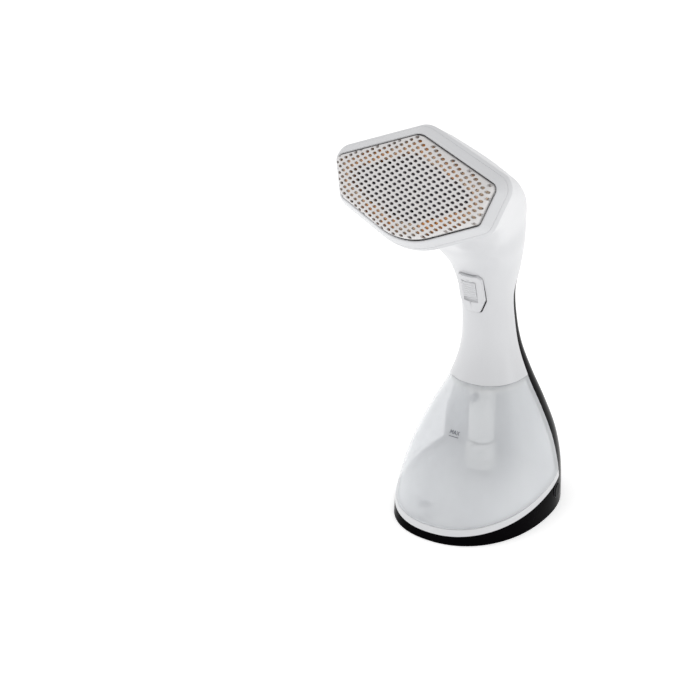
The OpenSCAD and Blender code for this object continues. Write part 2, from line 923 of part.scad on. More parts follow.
module pump_coil() {
    color("chocolate")
        on_pump()
            difference() {
                box([-coil_half_w, -coil_half_d, pump_coil_h[0]], [coil_half_w, coil_half_d, pump_coil_h[1]]);
                translate([0, 0, -reach / 2]) cylinder(r = pump_body_r + 0.1, h = reach, $fn = arc_fn);
            }
}

module pump_yoke() {
    low = pump_coil_h[0] - 0.1;
    high = pump_coil_h[1] + 0.1;
    side = coil_half_w + 0.1;
    color("gray")
        on_pump()
            difference() {
                box([-coil_half_w, -coil_half_d, low - yoke_t], [side + yoke_t, coil_half_d, high + yoke_t]);
                box([-reach, -reach, low], [side, reach, high]);
                translate([0, 0, -reach / 2]) cylinder(r = pump_body_r + 0.1, h = reach, $fn = arc_fn);
            }
}

module pump_mounts() {
    color("darkslategray")
        on_pump()
            for (h = mount_ring_h)
                translate([0, 0, h[0]])
                    difference() {
                        cylinder(r = mount_ring_r, h = h[1] - h[0], $fn = arc_fn);
                        translate([0, 0, -1]) cylinder(r = pump_body_r + 0.05, h = 10, $fn = arc_fn);
                    }
}

module pump_plunger() {
    color("silver")
        on_pump()
            translate([0, 0, plunger_h[0]])
                difference() {
                    cylinder(r = plunger_bore_r - running_gap, h = plunger_h[1] - plunger_h[0], $fn = arc_fn);
                    translate([0, 0, -1]) cylinder(r = 1.2, h = 40, $fn = arc_fn);
                }
}

module pump_spring() {
    color("silver")
        on_pump()
            translate([0, 0, plunger_h[1] + 0.05])
                coil_spring(2.9, 0.35, pump_bore_h[1] - plunger_h[1] - 0.1, 5);
}

// ---- Water path ----
hose_r = 2.5;
branch_y = 25.8;
function pump_point(h) =
    [0, parting[0] + pump_d * cos(parting_lean) - h * sin(parting_lean),
        parting[1] + pump_d * sin(parting_lean) + h * cos(parting_lean)];
nozzle_end = face_centre + face_forward * nozzle_back + [nozzle_spot[0], 0, 0];
suction_route = [
    pump_point(pump_body_h[0] - 5.1), pump_point(pump_body_h[0] - 8.5), [0.8, 42, 13.5], [5, 41.5, 9.2],
    [11, 40, 9.8], [19, 38, 16], [26, 34, 28], [30, 30.5, 45], [27, 28, 62], [21, 26.2, 75],
    [15.9, branch_y, socket_z - 0.3], [11.5, branch_y, socket_z]
];
delivery_route = [
    pump_point(pump_body_h[1] + 6.3), pump_point(pump_body_h[1] + 9.5), [0.8, 33, 86], [3, 28.6, 98],
    [6.2, 22.4, 112], [6.8, 17.4, 128], [7.3, 14.2, 143], [6.8, 12.5, 157], [5, 6, 171], [2, -5, 186],
    [-2, -18, 200], [-5, -32, 213], [-9, -44, 223], nozzle_end - face_forward * 7,
    nozzle_end - face_forward * 0.3
];

module suction_hose() {
    color("gainsboro") swept_tube(suction_route, hose_r, 3);
}

module delivery_hose() {
    color("gainsboro") swept_tube(delivery_route, hose_r, 3);
}

seal_ring_r = 5.75;
seal_wire_r = 0.75;
seal_y = 23;
module inlet_socket() {
    color("lightgray")
        translate([0, 0, socket_z])
            difference() {
                union() {
                    rod_y(socket_r, socket_y[0], socket_y[1]);
                    translate([0, branch_y, 0]) rod_x(2, 1, 11);
                }
                rod_y(socket_bore_r, socket_y[0] - 1, socket_y[1] - 1.6);
                translate([0, seal_y - 1, 0]) rod_y(seal_ring_r + seal_wire_r + 0.1, 0, 2);
                translate([0, branch_y, 0]) rod_x(1, 4, 20);
            }
}

module inlet_seal() {
    color("darkslategray")
        translate([0, seal_y, socket_z])
            rotate([-90, 0, 0])
                rotate_extrude($fn = arc_fn)
                    translate([seal_ring_r, 0]) circle(r = seal_wire_r, $fn = arc_fn);
}

// ---- Tank ----
column_y = 0.5;
column_r = 8.6;
column_z = [46, 88.5];
filter_z = [26, 44];
// The filter's intake holes, fine enough to hold back scale
strainer_r = 0.4;
fill_spot = [-8.6, -54.5];
fill_r = 4.6;
fill_hole_r = 3.2;
fill_top = 17.5;

module tank_space(back_off, top_drop) {
    intersection() {
        ahead_of_parting(back_off);
        below(tank_top_z - top_drop);
    }
}

module tank_shell() {
    color("lightsteelblue", 0.6)
        as_one_mesh()
            difference() {
                intersection() {
                    lower_body(0);
                    tank_space(seam_gap, seam_gap / 2);
                    above_foot(band_h + seam_gap / 2);
                }
                intersection() {
                    lower_body(wall);
                    tank_space(seam_gap + wall, seam_gap / 2 + wall);
                }
                translate([0, 0, socket_z]) rod_y(spigot_r + 0.2, 5, 40);
            }
}

module tank_floor() {
    color("white")
        as_one_mesh()
            difference() {
                union() {
                    difference() {
                        intersection() {
                            lower_body(0);
                            tank_space(seam_gap, 0);
                            above_foot(seam_gap / 2);
                            below_foot(band_h - seam_gap / 2);
                        }
                        intersection() {
                            lower_body(wall);
                            tank_space(seam_gap + wall, 0);
                            above_foot(wall);
                        }
                    }
                    translate([fill_spot[0], fill_spot[1], foot_z(fill_spot[1]) + 1.4])
                        cylinder(r = fill_r, h = fill_top - foot_z(fill_spot[1]) - 1.4, $fn = 24);
                }
                translate([fill_spot[0], fill_spot[1], 0]) cylinder(r = fill_hole_r, h = 30, $fn = 24);
            }
}

module tank_seal() {
    color("gray")
        as_one_mesh()
            difference() {
                intersection() {
                    lower_body(0.7);
                    tank_space(seam_gap + 0.7, 0);
                    above_foot(band_h - seam_gap / 2 + 0.02);
                    below_foot(band_h + seam_gap / 2 - 0.02);
                }
                lower_body_front_core();
            }
}

module lower_body_front_core() {
    intersection() {
        lower_body(wall);
        tank_space(seam_gap + wall, 0);
    }
}

module fill_plug() {
    low = foot_z(fill_spot[1]) + 2;
    color("slategray")
        translate([fill_spot[0], fill_spot[1], 0]) {
            translate([0, 0, low]) cylinder(r = fill_hole_r - 0.1, h = 8, $fn = arc_fn);
            translate([0, 0, low + 1]) cylinder(r = fill_hole_r - 1, h = fill_top - low, $fn = arc_fn);
            translate([0, 0, fill_top + 0.1]) cylinder(r = fill_hole_r + 0.6, h = 1.2, $fn = arc_fn);
        }
}

module suction_column() {
    color("whitesmoke")
        difference() {
            union() {
                translate([0, column_y, column_z[0]])
                    cylinder(r = column_r, h = column_z[1] - column_z[0], $fn = arc_fn);
                translate([0, 0, socket_z]) rod_y(spigot_r, column_y, 25);
            }
            translate([0, column_y, column_z[0] - 1])
                cylinder(r = 3, h = socket_z - column_z[0] + 1, $fn = arc_fn);
            translate([0, 0, socket_z]) rod_y(2.4, column_y, 40);
        }
}

filter_ribs = 4;
module water_filter() {
    pitch = (filter_z[1] - filter_z[0] - 4) / filter_ribs;
    color("whitesmoke")
        translate([0, column_y, 0])
            difference() {
                union() {
                    translate([0, 0, filter_z[0]])
                        cylinder(r = 8.8, h = filter_z[1] - filter_z[0], $fn = arc_fn);
                    for (k = [0:filter_ribs])
                        translate([0, 0, filter_z[0] + 1 + k * pitch])
                            cylinder(r = 10, h = 1.4, $fn = arc_fn);
                    translate([0, 0, filter_z[1] - 1]) cylinder(r = 5, h = column_z[0] - filter_z[1] + 0.95);
                }
                translate([0, 0, filter_z[0] + 2]) cylinder(r = 3, h = 40, $fn = arc_fn);
                for (a = [0:90:270])
                    rotate([0, 0, a]) translate([0, 0, filter_z[0] + 4]) rod_y(strainer_r, 0, 12);
            }
}

module vent_valve() {
    back = column_y - column_r - 0.05;
    color("slategray") translate([0, 0, 79]) rod_y(2.6, back - 4.4, back);
}

// ---- Tank release buttons ----
button_travel = 2.5;
spring_seat = -16.6;
guide_back = -7;
module button_guides() {
    color("dimgray")
        for (side = [-1, 1])
            on_button(side)
                difference() {
                    union() {
                        rod_x(guide_r, guide_back, 0.3);
                        box([spring_seat - 1.4, -3, -8.6], [-3, 3, -6.6]);
                        box([guide_back + 1, -3, -8.6], [-3, 3, -5]);
                        box([spring_seat - 1.4, -3, -8.6], [spring_seat, 3, 4]);
                    }
                    rod_x(button_r + running_gap, guide_back - 1.5, 10);
                }
}

module release_button(side) {
    color("black")
        on_button(side) {
            rod_x(button_r, guide_back - 1, 0.8);
            rod_x(guide_r, guide_back - 1.6, guide_back - 0.1);
        }
}

module release_button_right() {
    release_button(1);
}

module release_button_left() {
    release_button(-1);
}

module button_spring(side) {
    color("silver")
        on_button(side)
            translate([spring_seat + 0.05, 0, 0])
                rotate([0, 90, 0])
                    coil_spring(2.4, 0.35, guide_back - 1.6 - spring_seat - 0.1, 4);
}

module button_spring_right() {
    button_spring(1);
}

module button_spring_left() {
    button_spring(-1);
}

// ---- Cord inlet ----
inlet_y = [56, 66.5];
module cord_inlet() {
    color("black")
        translate([0, 0, cord_z])
            difference() {
                union() {
                    rod_y(cord_sleeve_r, inlet_y[0], inlet_y[1]);
                    rod_y(cord_sleeve_r + 1.6, inlet_y[0], inlet_y[0] + 2);
                }
                rod_y(cord_hole_r, inlet_y[0] - 1, inlet_y[1] + 1);
            }
}

clamp_top = 16;
module cord_clamp() {
    color("lightgray")
        difference() {
            box([-14, 46.5, clamp_post_top + 0.05], [14, 52.5, clamp_top]);
            translate([0, 0, cord_z]) rod_y(cord_hole_r, 40, 60);
            for (s = clamp_spots)
                translate([s[0], s[1], 0]) cylinder(r = 1.3, h = 30, $fn = arc_fn);
        }
}

module clamp_screws() {
    color("silver")
        for (s = clamp_spots)
            translate([s[0], s[1], clamp_top - 9]) mirror([0, 0, 1]) screw(1.2, 9, 2.4, 1.6);
}

front_housing();
rear_cover();
base_tray();
base_plate();
anti_slip_pads();
base_screws();
handle_screws();
bezel();
steam_cover();
face_gasket();
soleplate();
steam_chamber();
heating_element();
thermostat();
thermal_fuse();
heater_frame();
heater_screws();
chassis();
switch_bracket();
control_board();
board_components();
micro_switch();
switch_plunger();
trigger();
trigger_pin();
trigger_spring();
lock_slider();
ready_light();
pump_body();
pump_coil();
pump_yoke();
pump_mounts();
pump_plunger();
pump_spring();
suction_hose();
delivery_hose();
inlet_socket();
inlet_seal();
tank_shell();
tank_floor();
tank_seal();
fill_plug();
suction_column();
water_filter();
vent_valve();
button_guides();
release_button_right();
release_button_left();
button_spring_right();
button_spring_left();
cord_inlet();
cord_clamp();
clamp_screws();
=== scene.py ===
"""Looks for a handheld garment steamer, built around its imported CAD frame.

+Z is up and the steam head points towards -Y. The scene is in metres. The shapes of the pieces are
worked out in mm, and finish_piece scales them.
"""

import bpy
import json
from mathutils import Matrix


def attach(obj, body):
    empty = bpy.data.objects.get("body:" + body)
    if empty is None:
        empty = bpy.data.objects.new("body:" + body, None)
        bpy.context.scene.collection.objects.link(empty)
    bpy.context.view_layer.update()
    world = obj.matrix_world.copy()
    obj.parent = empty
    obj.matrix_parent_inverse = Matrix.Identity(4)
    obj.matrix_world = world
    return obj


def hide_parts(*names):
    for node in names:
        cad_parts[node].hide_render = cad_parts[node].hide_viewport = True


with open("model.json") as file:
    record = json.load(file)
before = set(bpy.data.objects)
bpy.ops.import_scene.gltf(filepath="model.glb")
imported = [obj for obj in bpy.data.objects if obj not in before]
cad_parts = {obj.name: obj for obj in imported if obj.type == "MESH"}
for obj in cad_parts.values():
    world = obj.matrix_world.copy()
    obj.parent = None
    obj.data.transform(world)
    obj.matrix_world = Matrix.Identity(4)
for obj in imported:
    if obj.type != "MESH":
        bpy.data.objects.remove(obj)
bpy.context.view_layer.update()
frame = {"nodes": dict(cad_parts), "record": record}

import json
import math

import bmesh
import bpy
import numpy as np
from mathutils import Matrix, Vector
from mathutils.bvhtree import BVHTree

MM = 0.001
NODES = frame["nodes"]

# ---------------------------------------------------------------- camera, light and floor

CAMERA_PLACE = Vector((0.4575, -0.7931, 0.4994))
AZIMUTH = math.radians(35.4)
ELEVATION = math.radians(23.2)
SENSOR_MM = 36.0
LENS_MM = 79.2
WORLD_STRENGTH = 0.75
# Each lamp's name, place, aim, size and power
LAMPS = (
    ("key_left", (-1.1, -0.45, 0.7), (0, 0, 0.14), (0.8, 1.2), 2.3),
    ("fill_right", (0.95, 0.3, 0.45), (0, 0, 0.14), (0.4, 1.0), 1.1),
    ("top_soft", (0.0, -0.2, 1.3), (0, 0, 0.1), (0.9, 0.9), 1.2),
)


def make_camera():
    data = bpy.data.cameras.new("camera")
    data.sensor_width = SENSOR_MM
    data.lens = LENS_MM
    data.clip_start = 0.05
    camera = bpy.data.objects.new("camera", data)
    bpy.context.scene.collection.objects.link(camera)
    back = Vector((
        math.sin(AZIMUTH) * math.cos(ELEVATION),
        -math.cos(AZIMUTH) * math.cos(ELEVATION),
        math.sin(ELEVATION),
    ))
    camera.location = CAMERA_PLACE
    camera.rotation_euler = back.to_track_quat("Z", "Y").to_euler()
    bpy.context.scene.camera = camera


def area_light(name, place, aim, size, power):
    data = bpy.data.lights.new(name, "AREA")
    data.shape = "RECTANGLE"
    data.size, data.size_y = size
    data.energy = power
    light = bpy.data.objects.new(name, data)
    bpy.context.scene.collection.objects.link(light)
    light.location = place
    light.rotation_euler = (Vector(place) - Vector(aim)).to_track_quat("Z", "Y").to_euler()


def make_world():
    world = bpy.data.worlds.new("studio")
    bpy.context.scene.world = world
    world.use_nodes = True
    background = world.node_tree.nodes["Background"]
    background.inputs["Color"].default_value = (1, 1, 1, 1)
    background.inputs["Strength"].default_value = WORLD_STRENGTH
    bpy.context.scene.view_settings.view_transform = "Standard"


make_camera()
make_world()
for lamp in LAMPS:
    area_light(*lamp)

# ---------------------------------------------------------------- materials

# The Mix node's sockets when it mixes colours
MIX_FACTOR, MIX_A, MIX_B, MIX_RESULT = 0, 6, 7, 2


class Mat:
    """A node material with helpers for the parts that every finish shares."""

    def __init__(self, name):
        self.mat = bpy.data.materials.new(name)
        self.mat.use_nodes = True
        self.nodes = self.mat.node_tree.nodes
        self.links = self.mat.node_tree.links
        self.bsdf = self.nodes["Principled BSDF"]
        self.coord = self.nodes.new("ShaderNodeTexCoord").outputs["Object"]

    def link(self, a, b):
        self.links.new(a, b)

    def noise(self, scale, detail=3.0, stretch=None):
        node = self.nodes.new("ShaderNodeTexNoise")
        node.inputs["Scale"].default_value = scale
        node.inputs["Detail"].default_value = detail
        source = self.coord
        if stretch:
            mapping = self.nodes.new("ShaderNodeMapping")
            mapping.inputs["Scale"].default_value = stretch
            self.link(source, mapping.inputs["Vector"])
            source = mapping.outputs["Vector"]
        self.link(source, node.inputs["Vector"])
        return node.outputs["Fac"]

    def span(self, value, low, high, start=0.3, end=0.7):
        """A value from start to end, stretched to run from low to high."""
        node = self.nodes.new("ShaderNodeMapRange")
        node.inputs["From Min"].default_value = start
        node.inputs["From Max"].default_value = end
        node.inputs["To Min"].default_value = low
        node.inputs["To Max"].default_value = high
        self.link(value, node.inputs["Value"])
        return node.outputs["Result"]

    def mix(self, factor, a, b):
        node = self.nodes.new("ShaderNodeMix")
        node.data_type = "RGBA"
        for socket, value in ((node.inputs[MIX_A], a), (node.inputs[MIX_B], b)):
            if isinstance(value, tuple):
                socket.default_value = (*value, 1)
            else:
                self.link(value, socket)
        self.link(factor, node.inputs[MIX_FACTOR])
        return node.outputs[MIX_RESULT]

    def color(self, value):
        self.link(value, self.bsdf.inputs["Base Color"])

    def bump(self, height, distance, strength=1.0, under=None):
        node = self.nodes.new("ShaderNodeBump")
        node.inputs["Distance"].default_value = distance
        node.inputs["Strength"].default_value = strength
        self.link(height, node.inputs["Height"])
        if under is not None:
            self.link(under, node.inputs["Normal"])
        self.link(node.outputs["Normal"], self.bsdf.inputs["Normal"])

    def round_edges(self, radius):
        """A normal that softens the sharp edges of the real shape."""
        node = self.nodes.new("ShaderNodeBevel")
        node.samples = 6
        node.inputs["Radius"].default_value = radius
        return node.outputs["Normal"]


def shade(color, factor):
    """A lighter or darker version of a colour."""
    return tuple(min(1.0, c * factor) for c in color)


def plastic(
    name, color, rough, grain=0.00001, vary=0.03, coat=0.0, spec=0.5, edge=None, scatter=0.0, haze=0.17,
):
    """Moulded plastic: a faint cloud in its colour, an uneven gloss and a fine grain."""
    m = Mat(name)
    cloud = m.noise(28, 2)
    m.color(m.mix(m.span(cloud, 0, 1), shade(color, 1 - vary), shade(color, 1 + vary)))
    m.link(m.span(m.noise(160, 4), rough * (1 - haze), rough * (1 + haze)), m.bsdf.inputs["Roughness"])
    m.bsdf.inputs["Specular IOR Level"].default_value = spec
    m.bsdf.inputs["Coat Weight"].default_value = coat
    m.bsdf.inputs["Coat Roughness"].default_value = 0.04
    if scatter:
        m.bsdf.inputs["Subsurface Weight"].default_value = scatter
        m.bsdf.inputs["Subsurface Radius"].default_value = (1, 1, 1)
        m.bsdf.inputs["Subsurface Scale"].default_value = 0.002
    m.bump(m.noise(1500, 2), grain, 0.6, m.round_edges(edge) if edge else None)
    return m.mat


def metal(name, color, rough, stretch=None, grain=0.00002, vary=0.06):
    """Metal whose gloss and grain follow the same lines, drawn out along stretch."""
    m = Mat(name)
    m.bsdf.inputs["Metallic"].default_value = 1.0
    m.color(m.mix(m.span(m.noise(60, 3), 0, 1), shade(color, 1 - vary), shade(color, 1 + vary)))
    lines = m.noise(700, 3, stretch)
    m.link(m.span(lines, rough * 0.8, rough * 1.3), m.bsdf.inputs["Roughness"])
    m.bump(lines, grain, 0.5)
    return m.mat


def frosted(name, color, rough, alpha, grain=0.000008):
    """Milky see-through plastic: a white scatter that lets some of what lies behind it show."""
    m = Mat(name)
    cloud = m.noise(22, 2)
    m.color(m.mix(m.span(cloud, 0, 1), shade(color, 0.97), shade(color, 1.03)))
    m.link(m.span(m.noise(220, 3), rough * 0.9, rough * 1.15), m.bsdf.inputs["Roughness"])
    m.bsdf.inputs["Specular IOR Level"].default_value = 0.35
    m.bsdf.inputs["Coat Weight"].default_value = 0.25
    m.bsdf.inputs["Coat Roughness"].default_value = 0.08
    edge_on = m.nodes.new("ShaderNodeLayerWeight")
    edge_on.inputs["Blend"].default_value = 0.35
    cover = m.nodes.new("ShaderNodeMath")
    cover.operation = "ADD"
    m.link(m.span(m.noise(12, 2), alpha * 0.95, alpha * 1.08), cover.inputs[0])
    m.link(m.span(edge_on.outputs["Facing"], 0, 0.34, 0, 1), cover.inputs[1])
    m.link(cover.outputs[0], m.bsdf.inputs["Alpha"])
    m.bump(m.noise(900, 2), grain, 0.5, m.round_edges(0.0004))
    return m.mat


# How far from the middle the gasket's brown starts to fade, and where it is palest, in metres
AMBER_FADE = (0.03, 0.052)


def amber_silicone():
    """Heat-browned gasket: patches of orange on pale silicone, palest towards the face's two ends."""
    m = Mat("amber_silicone")
    split = m.nodes.new("ShaderNodeSeparateXYZ")
    m.link(m.coord, split.inputs["Vector"])
    side = m.nodes.new("ShaderNodeMath")
    side.operation = "ABSOLUTE"
    m.link(split.outputs["X"], side.inputs[0])
    patch = m.nodes.new("ShaderNodeMath")
    patch.operation = "MULTIPLY"
    m.link(m.span(side.outputs[0], 1, 0.25, *AMBER_FADE), patch.inputs[0])
    m.link(m.span(m.noise(55, 2), 0.35, 1, 0.38, 0.58), patch.inputs[1])
    m.color(m.mix(patch.outputs[0], (0.95, 0.86, 0.72), (1.0, 0.45, 0.13)))
    m.link(m.span(m.noise(200, 3), 0.4, 0.55), m.bsdf.inputs["Roughness"])
    m.bump(m.noise(1200, 2), 0.00002, 0.5)
    return m.mat


FINISHES = {
    "white_shell": plastic(
        "white_gloss", (0.65, 0.655, 0.67), 0.3,
        grain=0.0000015, coat=0.1, edge=0.0005, vary=0.006, haze=0.03,
    ),
    "black_shell": plastic(
        "black_gloss", (0.0018, 0.0016, 0.002), 0.14,
        grain=0.000004, spec=0.008, edge=0.0005, vary=0.2,
    ),
    "frosted_tank": frosted("frosted_tank", (0.93, 0.95, 0.98), 0.22, 0.3),
    "cover_grey": plastic("cover_satin", (0.66, 0.645, 0.64), 0.38, vary=0.03),
    "dark_plastic": plastic("dark_matt", (0.03, 0.03, 0.034), 0.5, grain=0.00004, vary=0.12),
    "grey_plastic": plastic("grey_matt", (0.5, 0.51, 0.52), 0.45, grain=0.00003),
    "ivory_plastic": plastic("ivory_satin", (0.74, 0.745, 0.735), 0.35, grain=0.00002),
    "beige_plastic": plastic("beige_glass_filled", (0.6, 0.53, 0.42), 0.55, grain=0.00005, vary=0.08),
    "brown_plastic": plastic("brown_phenolic", (0.16, 0.08, 0.045), 0.4, vary=0.12),
    "board_green": plastic("solder_resist", (0.02, 0.14, 0.05), 0.3, vary=0.15),
    "lamp_lens": plastic("lamp_lens", (0.85, 0.3, 0.06), 0.12, coat=0.6, scatter=0.4),
    "amber_silicone": amber_silicone(),
    "pad_rubber": plastic("black_rubber", (0.018, 0.018, 0.019), 0.62, grain=0.00005, vary=0.15),
    "grey_rubber": plastic("grey_rubber", (0.3, 0.31, 0.33), 0.55, grain=0.00004, vary=0.06),
    "hose_silicone": plastic("hose_silicone", (0.7, 0.71, 0.7), 0.3, scatter=0.5),
    "dark_aluminium": plastic("dark_coated_plate", (0.17, 0.155, 0.19), 0.6, vary=0.15),
    "cast_aluminium": metal("cast_aluminium", (0.6, 0.61, 0.62), 0.38, grain=0.00008, vary=0.12),
    "steel": metal("plated_steel", (0.6, 0.6, 0.62), 0.25, stretch=(1, 1, 8)),
    "copper": metal("enamelled_copper", (0.65, 0.32, 0.16), 0.3, stretch=(1, 1, 14), grain=0.0001),
    "brass": metal("bright_brass", (0.72, 0.55, 0.24), 0.24),
}
MARK_INK = plastic("mark_ink", (0.06, 0.065, 0.09), 0.5, vary=0.1)


def finish_cad_nodes():
    slots = {s["node"]: s["material_slot"] for s in frame["record"]["subparts"]}
    for name, node in NODES.items():
        node.data.materials.clear()
        node.data.materials.append(FINISHES[slots[name]])


finish_cad_nodes()


FLOOR_HALF = 6.0
# The floor lies a little under the steamer's pads
FLOOR_DROP = 0.0002


def floor_material():
    m = Mat("floor_paper")
    m.color(m.mix(m.span(m.noise(3, 2), 0, 1), (0.93, 0.93, 0.93), (0.95, 0.95, 0.95)))
    m.bsdf.inputs["Roughness"].default_value = 0.7
    m.bsdf.inputs["Specular IOR Level"].default_value = 0.1
    m.bsdf.inputs["Emission Color"].default_value = (1, 1, 1, 1)
    m.bsdf.inputs["Emission Strength"].default_value = 0.4
    m.bump(m.noise(400, 2), 0.00002, 0.4)
    return m.mat


def make_floor():
    mesh = bpy.data.meshes.new("floor")
    corners = [(x * FLOOR_HALF, y * FLOOR_HALF, 0) for x, y in ((-1, -1), (1, -1), (1, 1), (-1, 1))]
    mesh.from_pydata(corners, [], [(0, 1, 2, 3)])
    floor = bpy.data.objects.new("floor", mesh)
    bpy.context.scene.collection.objects.link(floor)
    floor.location.z = -FLOOR_DROP
    mesh.materials.append(floor_material())


make_floor()

# ---------------------------------------------------------------- the steam face's outline, in mm

ACROSS = np.array([1, 0, 0])
FACE_LEAN = math.radians(15)
FACE_CENTRE = np.array([0, -88.8, 238.6])
FORWARD = np.array([0, -math.cos(FACE_LEAN), math.sin(FACE_LEAN)])
FACE_UP = np.array([0, math.sin(FACE_LEAN), math.cos(FACE_LEAN)])
CORNERS = np.array([(53.9, 11), (0, 32), (-53.9, 11), (-46.7, -11.6), (0, -32), (46.7, -11.6)], float)
ROUNDS = (3.6, 9, 3.6, 4, 40, 4)
LEAST_ROUND = 1.5
SIDES = len(CORNERS)
ARC_STEPS = 10
EDGE_STEPS = 12


def unit(v):
    return v / np.linalg.norm(v)


def corner_arc(i, grow):
    """The rounding of the face's corner i, on an outline moved outwards by grow."""
    p = CORNERS[i]
    to_last = unit(CORNERS[i - 1] - p)
    to_next = unit(CORNERS[(i + 1) % SIDES] - p)
    half = math.acos(float(to_last @ to_next)) / 2
    r = max(ROUNDS[i] + grow, LEAST_ROUND)
    centre = p + unit(to_last + to_next) * (r - grow) / math.sin(half)
    first = math.atan2(to_last[0], -to_last[1])
    turn = math.pi - 2 * half
    angles = first + turn * np.linspace(0, 1, ARC_STEPS + 1)
    return centre + r * np.stack([np.cos(angles), np.sin(angles)], 1)


def face_outline(grow):
    """The face's closed outline as points (across, up), moved outwards by grow."""
    arcs = [corner_arc(i, grow) for i in range(SIDES)]
    parts = []
    for i in range(SIDES):
        a, b = arcs[i][-1], arcs[(i + 1) % SIDES][0]
        k = np.arange(1, EDGE_STEPS)[:, None] / EDGE_STEPS
        parts += [arcs[i], a * (1 - k) + b * k]
    return np.concatenate(parts)


def place_on_face(outline, forward):
    """Points (across, up) of the face's plane, moved forward out of it."""
    return FACE_CENTRE + FORWARD * forward + outline[:, :1] * ACROSS + outline[:, 1:] * FACE_UP


def face_ring(grow, forward):
    return place_on_face(face_outline(grow), forward)


# ---------------------------------------------------------------- the body's loft, in mm

RIM_GROW, RIM_BACK, RIM_HALF_W = 6.2, 8.3, 60.0
RIM = face_outline(RIM_GROW)
RIM_TOP, RIM_BOTTOM = RIM[:, 1].max(), RIM[:, 1].min()
RIM_ORIGIN = FACE_CENTRE - FORWARD * RIM_BACK
RIM_LOW = RIM_ORIGIN + FACE_UP * RIM_BOTTOM
RIM_HIGH = RIM_ORIGIN + FACE_UP * RIM_TOP
RIM_MIDDLE = (RIM_TOP + RIM_BOTTOM) / 2
# The rim's outline in a box from -1 to 1
RIM_UNIT = np.stack([RIM[:, 0] / RIM_HALF_W, (RIM[:, 1] - RIM_MIDDLE) * 2 / (RIM_TOP - RIM_BOTTOM)], 1)
# Above 2 the lower sections are a little squarer than an ellipse
ROUNDNESS = 2.2
# From the foot up: front y, front z, rear y, rear z, half width, share of the hexagon
SECTIONS = np.array([
    (-66, 0, 64.5, 0, 49.5, 0),
    (-63.8, 14, 63.5, 14, 49, 0),
    (-56.5, 31, 61.5, 31, 47, 0),
    (-45.5, 50, 56, 50, 42.5, 0),
    (-32, 70, 47.5, 70, 34.5, 0),
    (-19.5, 89, 39, 89, 25.5, 0),
    (-13.3, 110, 30, 110, 18.7, 0),
    (-13.5, 130, 24, 130, 16.3, 0),
    (-17, 150, 20.5, 150, 16.4, 0),
    (-24, 170, 19.5, 169, 21.5, 0),
    (-36, 183, 14, 191, 28, 0),
    (-44, 190, 7.5, 213, 32.5, 0.3),
    (-58, 197, -12, 236, 42, 0.6),
    (-75, 203, -43, 258, 52.5, 0.8),
    (RIM_LOW[1], RIM_LOW[2], RIM_HIGH[1], RIM_HIGH[2], RIM_HALF_W, 1),
])
LAST = len(SECTIONS) - 1
# Where the lofts of the pieces start or end, counted in sections
FOOT_END, TANK_END, HOUSING_START, SPINE_END = 3, 6.6, 4.6, 12
WALL = 2.0


def section_at(t):
    """The smooth curve through the sections, one-sided at its ends."""
    i = min(int(t), LAST - 1)
    u = t - i

    def slope(k):
        if k == 0:
            return SECTIONS[1] - SECTIONS[0]
        if k == LAST:
            return SECTIONS[LAST] - SECTIONS[LAST - 1]
        return (SECTIONS[k + 1] - SECTIONS[k - 1]) / 2

    return (
        (2 * u**3 - 3 * u**2 + 1) * SECTIONS[i] + (u**3 - 2 * u**2 + u) * slope(i)
        + (3 * u**2 - 2 * u**3) * SECTIONS[i + 1] + (u**3 - u**2) * slope(i + 1)
    )


def ring(t, inset=0.0):
    """The body's closed outline at section t, moved inwards by inset."""
    s = section_at(t)
    front, rear = s[0:2], s[2:4]
    along = unit(rear - front)
    half_d = np.linalg.norm(rear - front) / 2 - inset
    mid = (front + rear) / 2
    r = np.linalg.norm(RIM_UNIT, axis=1)
    d = RIM_UNIT / r[:, None]
    oval = (np.abs(d[:, 0]) ** ROUNDNESS + np.abs(d[:, 1]) ** ROUNDNESS) ** (-1 / ROUNDNESS)
    q = d * (oval * (1 - s[5]) + r * s[5])[:, None]
    yz = mid + along * (half_d * q[:, 1:])
    return np.column_stack([(s[4] - inset) * q[:, 0], yz])


def steps(start, end, per=8):
    """Section numbers from start to end, this many to a section."""
    return np.linspace(start, end, int(round((end - start) * per)) + 1)


# ---------------------------------------------------------------- mesh helpers, in mm

MERGE = 1e-4
PRISM_HALF = 200.0


def new_object(name, points, faces):
    mesh = bpy.data.meshes.new(name)
    mesh.from_pydata([tuple(p) for p in points], [], faces)
    mesh.validate()
    obj = bpy.data.objects.new(name, mesh)
    bpy.context.scene.collection.objects.link(obj)
    return obj


def loft(name, rings, closed=False):
    """A solid skin through rings of points, capped at both ends or, if closed, joined into a loop."""
    n, m = len(rings[0]), len(rings)
    points = np.concatenate(rings)
    faces = []
    for j in range(m if closed else m - 1):
        a, b = j * n, ((j + 1) % m) * n
        faces += [(a + k, a + (k + 1) % n, b + (k + 1) % n, b + k) for k in range(n)]
    if not closed:
        faces.append(tuple(range(n - 1, -1, -1)))
        faces.append(tuple((m - 1) * n + k for k in range(n)))
    obj = new_object(name, points, faces)
    tidy(obj)
    return obj


def tidy(obj):
    """Merges points that coincide and turns the faces outwards."""
    bm = bmesh.new()
    bm.from_mesh(obj.data)
    bmesh.ops.remove_doubles(bm, verts=bm.verts, dist=MERGE)
    bmesh.ops.recalc_face_normals(bm, faces=bm.faces)
    bm.to_mesh(obj.data)
    bm.free()


def prism_x(name, outline):
    """A solid from an outline in the YZ plane, wider than the whole object."""
    n = len(outline)
    points = [(x, y, z) for x in (-PRISM_HALF, PRISM_HALF) for y, z in outline]
    faces = [tuple(range(n)), tuple(range(2 * n - 1, n - 1, -1))]
    faces += [(k, (k + 1) % n, n + (k + 1) % n, n + k) for k in range(n)]
    obj = new_object(name, points, faces)
    tidy(obj)
    return obj


